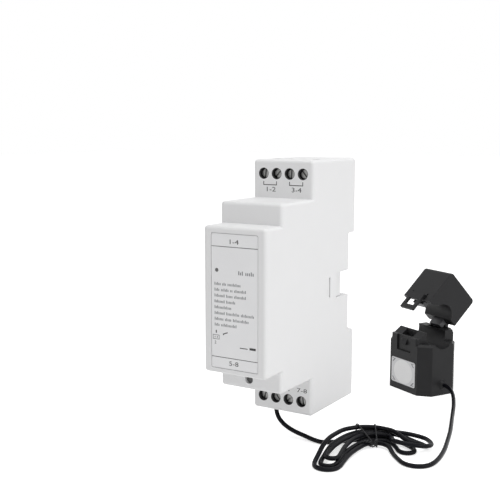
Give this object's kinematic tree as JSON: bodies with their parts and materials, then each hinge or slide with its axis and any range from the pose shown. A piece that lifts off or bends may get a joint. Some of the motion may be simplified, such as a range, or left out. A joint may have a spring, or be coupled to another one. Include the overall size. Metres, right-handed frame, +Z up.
{
  "type": "din rail energy meter",
  "caption": "Narrow stepped rail-mount energy meter with screw terminals, a rail latch and a split-core current clamp on a thin tied lead.",
  "frame": {"origin": "middle of the rail seat, where the front face of the rail lies", "axes": "+X across the meter's width to the right, +Y back through the rail, +Z up"},
  "size_m": [0.0653, 0.1457, 0.1],
  "materials": {
    "housing": "fine matt moulding",
    "base": "fine matt moulding",
    "label": "satin printed film, left bare",
    "light_pipe": "clear tinted, polished",
    "latch": "fine matt moulding",
    "spring_steel": "plain",
    "button": "satin",
    "switch": "satin",
    "board": "solder mask",
    "header": "satin",
    "led": "clear",
    "radio_can": "tinned",
    "chip": "moulded epoxy",
    "ferrite": "ground faces",
    "winding_tape": "tape",
    "capacitor_sleeve": "shrunk sleeve",
    "varistor_coat": "dipped",
    "terminal_plastic": "satin",
    "contact": "tinned",
    "screw": "zinc plated",
    "cage": "zinc plated",
    "clamp_plastic": "fine sparked",
    "bobbin": "satin",
    "copper": "enamelled wire",
    "pin_steel": "ground",
    "sticker": "matt film, left bare",
    "grommet": "matt",
    "core_sleeve": "satin",
    "cord": "satin sheath",
    "tie": "thin wire in plastic"
  },
  "bodies": {
    "meter": {"housing_shell": "housing", "rear_base": "base", "label_panel": "label", "status_light_pipe": "light_pipe", "latch_spring": "spring_steel", "reset_switch": "switch", "power_board": "board", "logic_board": "board", "board_header": "header", "status_led": "led", "radio_module": "radio_can", "meter_chip": "chip", "transformer_core": "ferrite", "transformer_winding": "winding_tape", "filter_capacitor": "capacitor_sleeve", "varistor": "varistor_coat", "terminal_block_top": "terminal_plastic", "terminal_block_bottom": "terminal_plastic", "terminal_contacts_top": "contact", "terminal_contacts_bottom": "contact", "clamp_base_case": "clamp_plastic", "clamp_base_core": "ferrite", "clamp_bobbin": "bobbin", "clamp_winding": "copper", "clamp_hinge_pin": "pin_steel", "clamp_sticker": "sticker", "clamp_cord_grommet": "grommet", "cord_cores": "core_sleeve", "cord_lead": "cord", "cord_tail": "cord", "cord_hank": "cord", "hank_tie_left": "tie", "hank_tie_right": "tie"},
    "clamp_jaw": {"clamp_jaw_case": "clamp_plastic", "clamp_jaw_core": "ferrite", "clamp_core_spring": "spring_steel"},
    "latch": {"rail_latch": "latch"},
    "button": {"reset_button": "button"},
    "screw_top_1": {"terminal_screw_top_1": "screw"},
    "cage_top_1": {"wire_cage_top_1": "cage"},
    "screw_top_2": {"terminal_screw_top_2": "screw"},
    "cage_top_2": {"wire_cage_top_2": "cage"},
    "screw_top_3": {"terminal_screw_top_3": "screw"},
    "cage_top_3": {"wire_cage_top_3": "cage"},
    "screw_top_4": {"terminal_screw_top_4": "screw"},
    "cage_top_4": {"wire_cage_top_4": "cage"},
    "screw_bottom_1": {"terminal_screw_bottom_1": "screw"},
    "cage_bottom_1": {"wire_cage_bottom_1": "cage"},
    "screw_bottom_2": {"terminal_screw_bottom_2": "screw"},
    "cage_bottom_2": {"wire_cage_bottom_2": "cage"},
    "screw_bottom_3": {"terminal_screw_bottom_3": "screw"},
    "cage_bottom_3": {"wire_cage_bottom_3": "cage"},
    "screw_bottom_4": {"terminal_screw_bottom_4": "screw"},
    "cage_bottom_4": {"wire_cage_bottom_4": "cage"}
  },
  "joints": [
    {"name": "jaw_hinge", "type": "hinge", "parent": "meter", "child": "clamp_jaw", "pos_m": [0.02055, 0.07585, -0.03085], "axis": [-0.8763, 0.4818, 0], "range_deg": [-46.5, 43.5]},
    {"name": "latch_slide", "type": "slide", "parent": "meter", "child": "latch", "axis": [0, 0, -1], "range_m": [0, 0.0024], "stiffness_N_per_m": 400, "springref_m": -0.002, "deforming": ["latch_spring"]},
    {"name": "button_press", "type": "slide", "parent": "meter", "child": "button", "axis": [0, 1, 0], "range_m": [0, 0.0005], "stiffness_N_per_m": 300, "springref_m": -0.0005},
    {"name": "screw_top_1_turn", "type": "hinge", "parent": "meter", "child": "screw_top_1", "pos_m": [-0.00762, -0.025, 0.0399], "axis": [0, 1, 0], "range_deg": [-46, 1665]},
    {"name": "cage_top_1_rise", "type": "slide", "parent": "meter", "child": "cage_top_1", "axis": [0, -1, 0], "range_m": [0, 0.00225]},
    {"name": "screw_top_2_turn", "type": "hinge", "parent": "meter", "child": "screw_top_2", "pos_m": [-0.00254, -0.025, 0.0399], "axis": [0, 1, 0], "range_deg": [-46, 1665]},
    {"name": "cage_top_2_rise", "type": "slide", "parent": "meter", "child": "cage_top_2", "axis": [0, -1, 0], "range_m": [0, 0.00225]},
    {"name": "screw_top_3_turn", "type": "hinge", "parent": "meter", "child": "screw_top_3", "pos_m": [0.00254, -0.025, 0.0399], "axis": [0, 1, 0], "range_deg": [-46, 1665]},
    {"name": "cage_top_3_rise", "type": "slide", "parent": "meter", "child": "cage_top_3", "axis": [0, -1, 0], "range_m": [0, 0.00225]},
    {"name": "screw_top_4_turn", "type": "hinge", "parent": "meter", "child": "screw_top_4", "pos_m": [0.00762, -0.025, 0.0399], "axis": [0, 1, 0], "range_deg": [-46, 1665]},
    {"name": "cage_top_4_rise", "type": "slide", "parent": "meter", "child": "cage_top_4", "axis": [0, -1, 0], "range_m": [0, 0.00225]},
    {"name": "screw_bottom_1_turn", "type": "hinge", "parent": "meter", "child": "screw_bottom_1", "pos_m": [-0.00762, -0.025, -0.0386], "axis": [0, 1, 0], "range_deg": [-1291, 46]},
    {"name": "cage_bottom_1_rise", "type": "slide", "parent": "meter", "child": "cage_bottom_1", "axis": [0, -1, 0], "range_m": [-0.00173, 0]},
    {"name": "screw_bottom_2_turn", "type": "hinge", "parent": "meter", "child": "screw_bottom_2", "pos_m": [-0.00254, -0.025, -0.0386], "axis": [0, 1, 0], "range_deg": [-1291, 46]},
    {"name": "cage_bottom_2_rise", "type": "slide", "parent": "meter", "child": "cage_bottom_2", "axis": [0, -1, 0], "range_m": [-0.00173, 0]},
    {"name": "screw_bottom_3_turn", "type": "hinge", "parent": "meter", "child": "screw_bottom_3", "pos_m": [0.00254, -0.025, -0.0386], "axis": [0, 1, 0], "range_deg": [-46, 1665]},
    {"name": "cage_bottom_3_rise", "type": "slide", "parent": "meter", "child": "cage_bottom_3", "axis": [0, -1, 0], "range_m": [0, 0.00225]},
    {"name": "screw_bottom_4_turn", "type": "hinge", "parent": "meter", "child": "screw_bottom_4", "pos_m": [0.00762, -0.025, -0.0386], "axis": [0, 1, 0], "range_deg": [-46, 1665]},
    {"name": "cage_bottom_4_rise", "type": "slide", "parent": "meter", "child": "cage_bottom_4", "axis": [0, -1, 0], "range_m": [0, 0.00225]}
  ],
  "couplings": [
    {"joint": "screw_top_1_turn", "follows": "cage_top_1_rise", "rad_per_m": 12566},
    {"joint": "screw_top_2_turn", "follows": "cage_top_2_rise", "rad_per_m": 12566},
    {"joint": "screw_top_3_turn", "follows": "cage_top_3_rise", "rad_per_m": 12566},
    {"joint": "screw_top_4_turn", "follows": "cage_top_4_rise", "rad_per_m": 12566},
    {"joint": "screw_bottom_1_turn", "follows": "cage_bottom_1_rise", "rad_per_m": 12566},
    {"joint": "screw_bottom_2_turn", "follows": "cage_bottom_2_rise", "rad_per_m": 12566},
    {"joint": "screw_bottom_3_turn", "follows": "cage_bottom_3_rise", "rad_per_m": 12566},
    {"joint": "screw_bottom_4_turn", "follows": "cage_bottom_4_rise", "rad_per_m": 12566}
  ]
}
